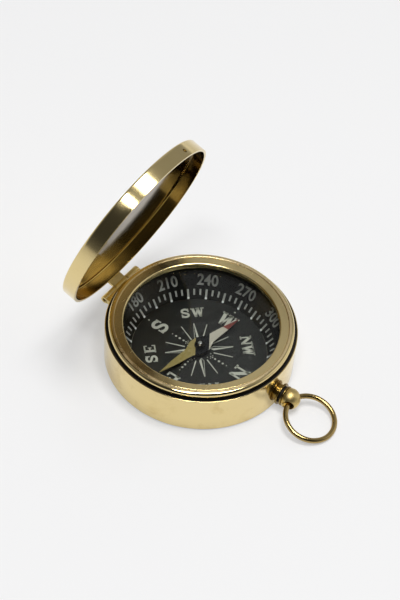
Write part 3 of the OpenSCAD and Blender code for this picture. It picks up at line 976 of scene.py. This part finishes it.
class COMPASS_OT_bow(bpy.types.Operator):
    """Build the bow ring that hangs in the ball"""
    bl_idname = "compass.bow"
    bl_label = "Bow ring"

    def execute(self, context):
        s = context.scene.compass_stem
        look = finishes()
        bm = bmesh.new()
        made = bmesh.ops.create_circle(bm, cap_ends=False, radius=s.wire, segments=28)
        bmesh.ops.rotate(bm, cent=(0, 0, 0), matrix=Matrix.Rotation(radians(90), 3, "X"),
                         verts=made["verts"])
        bmesh.ops.translate(bm, vec=(s.bow, 0, 0), verts=bm.verts)
        spin_round(bm, 144)
        drop = asin((EYE.z - s.wire - 0.03) / (2 * s.bow - 0.15))
        lay = (Matrix.Translation(EYE) @ Matrix.Rotation(drop, 4, "X")
               @ Matrix.Rotation(radians(-10), 4, "Z") @ Matrix.Translation((0, 0.15 - s.bow, 0)))
        move(bm, lay)
        piece("bow", bm, "bow", [look["wire"]], ["bow_ring"])
        return {"FINISHED"}


class COMPASS_OT_stage(bpy.types.Operator):
    """Build the table, the soft light and the camera"""
    bl_idname = "compass.stage"
    bl_label = "Stage"

    def execute(self, context):
        scene = context.scene
        table = glossy_table("gloss_table", scene.compass_finishes.table)
        bm = bmesh.new()
        bmesh.ops.create_grid(bm, x_segments=1, y_segments=1, size=4.0)
        mesh = bpy.data.meshes.new("table")
        bm.to_mesh(mesh)
        bm.free()
        mesh.materials.append(table)
        floor = bpy.data.objects.new("table", mesh)
        scene.collection.objects.link(floor)
        self.room(scene)
        self.camera(scene)
        scene.view_settings.view_transform = "Standard"
        return {"FINISHED"}

    def room(self, scene):
        """A pale studio: brightest overhead, darker on the side where one stands."""
        world = bpy.data.worlds.new("studio")
        scene.world = world
        world.use_nodes = True
        tree = world.node_tree
        tree.nodes.clear()
        way = put(tree, "TexCoord").outputs["Generated"]
        level = put(tree, "SeparateXYZ", {"Vector": way}).outputs["Z"]
        # A pale backdrop stands low all round.
        low = put(tree, "MapRange", {"Value": level, "From Min": 0.04, "From Max": 0.14,
                  "To Min": 0.85, "To Max": 0.0}, interpolation_type="SMOOTHSTEP")
        # It leaves a dark opening on the -X side.
        sidewise = put(tree, "SeparateXYZ", {"Vector": way}).outputs["X"]
        opening = put(tree, "MapRange", {"Value": sidewise, "From Min": -0.97,
                      "From Max": -0.86, "To Min": 0.1, "To Max": 1.0},
                      interpolation_type="SMOOTHSTEP")
        low = put(tree, "Math", {0: low, 1: opening},
                  operation="MULTIPLY")
        # The far wall and a panel on the right are lit, and the room dims away from them.
        far = put(tree, "VectorMath", {0: way, 1: (0.72, 0.45, 0.53)},
                  operation="DOT_PRODUCT")
        wall = put(tree, "MapRange", {"Value": far.outputs["Value"], "From Min": 0.9,
                   "From Max": 0.99, "To Min": 0.3, "To Max": 0.46},
                   interpolation_type="SMOOTHSTEP")
        side = put(tree, "VectorMath", {0: way, 1: (0.67, -0.56, 0.48)},
                   operation="DOT_PRODUCT")
        glow = put(tree, "MapRange", {"Value": side.outputs["Value"], "From Min": 0.8,
                   "From Max": 0.97, "To Min": 0.0, "To Max": 0.75},
                   interpolation_type="SMOOTHSTEP")
        wall = put(tree, "Math", {0: wall, 1: glow},
                   operation="MAXIMUM")
        near = put(tree, "VectorMath", {0: way, 1: (-0.70, -0.36, 0.62)},
                   operation="DOT_PRODUCT")
        dark = put(tree, "MapRange", {"Value": near.outputs["Value"],
                   "From Min": 0.35, "From Max": 0.85, "To Min": 1.0, "To Max": 0.14},
                   interpolation_type="SMOOTHSTEP")
        both = put(tree, "Math", {0: wall, 1: dark},
                   operation="MULTIPLY")
        sky = put(tree, "Math", {0: both, 1: low},
                  operation="MAXIMUM")
        light = put(tree, "Background", {"Color": (1, 1, 1, 1),
                    "Strength": sky})
        put(tree, "OutputWorld", {"Surface": light})
        for name, place, size, power in (
                ("overhead", (0.1, -0.12, 1.1), (0.33, 0.5), 7.4),
                ("window", (-0.43, -0.1, 1.1), (0.15, 0.3), 3.6)):
            data = bpy.data.lights.new(name, "AREA")
            data.shape, data.energy = "RECTANGLE", power
            data.size, data.size_y = size
            lamp = bpy.data.objects.new(name, data)
            lamp.location = place
            lamp.visible_camera = False
            scene.collection.objects.link(lamp)

    def camera(self, scene):
        """The camera, set by its bearing, height, distance, roll and aim."""
        bearing, height, away = radians(-58.557), radians(50.414), 412.745 * MM
        roll, pan, tilt = radians(-5.436), -0.00253, -0.03418
        back = Vector((sin(bearing) * cos(height), -cos(bearing) * cos(height), sin(height)))
        right = Vector((cos(bearing), sin(bearing), 0))
        up = back.cross(right)
        look = Matrix((right, up, back))
        yaw = Matrix(((cos(pan), 0, sin(pan)), (0, 1, 0), (-sin(pan), 0, cos(pan))))
        pitch = Matrix(((1, 0, 0), (0, cos(tilt), -sin(tilt)), (0, sin(tilt), cos(tilt))))
        bank = Matrix(((cos(roll), -sin(roll), 0), (sin(roll), cos(roll), 0), (0, 0, 1)))
        turn = (bank @ pitch @ yaw @ look).transposed()
        data = bpy.data.cameras.new("camera")
        data.sensor_fit = "AUTO"
        data.sensor_width = 36.0
        data.lens = 93.84
        data.clip_start = 0.01
        camera = bpy.data.objects.new("camera", data)
        camera.matrix_world = Matrix.Translation(back * away) @ turn.to_4x4()
        scene.collection.objects.link(camera)
        bpy.context.scene.camera = camera


OPERATORS = (COMPASS_OT_case, COMPASS_OT_bezel, COMPASS_OT_dial, COMPASS_OT_needle,
             COMPASS_OT_lid, COMPASS_OT_hinge, COMPASS_OT_stem, COMPASS_OT_bow, COMPASS_OT_stage)
GROUPS = (("compass_case", CaseSizes), ("compass_dial", DialSizes), ("compass_lid", LidSizes),
          ("compass_stem", StemSizes), ("compass_finishes", Finishes))


class COMPASS_PT_panel(bpy.types.Panel):
    """Lists the compass's sizes, colours and pieces"""
    bl_idname = "COMPASS_PT_panel"
    bl_label = "Pocket compass"
    bl_space_type = "VIEW_3D"
    bl_region_type = "UI"
    bl_category = "Compass"

    def draw(self, context):
        for attribute, group in GROUPS:
            box = self.layout.box()
            values = getattr(context.scene, attribute)
            for name in group.__annotations__:
                box.prop(values, name)
        for operator in OPERATORS:
            self.layout.operator(operator.bl_idname)


def register():
    for attribute, group in GROUPS:
        bpy.utils.register_class(group)
        setattr(bpy.types.Scene, attribute, bpy.props.PointerProperty(type=group))
    for operator in OPERATORS:
        bpy.utils.register_class(operator)
    bpy.utils.register_class(COMPASS_PT_panel)


def unregister():
    bpy.utils.unregister_class(COMPASS_PT_panel)
    for operator in reversed(OPERATORS):
        bpy.utils.unregister_class(operator)
    for attribute, group in reversed(GROUPS):
        delattr(bpy.types.Scene, attribute)
        bpy.utils.unregister_class(group)


def main():
    register()
    bpy.ops.compass.case()
    bpy.ops.compass.bezel()
    bpy.ops.compass.dial()
    bpy.ops.compass.needle()
    bpy.ops.compass.lid()
    bpy.ops.compass.hinge()
    bpy.ops.compass.stem()
    bpy.ops.compass.bow()
    bpy.ops.compass.stage()


if __name__ == "__main__":
    main()
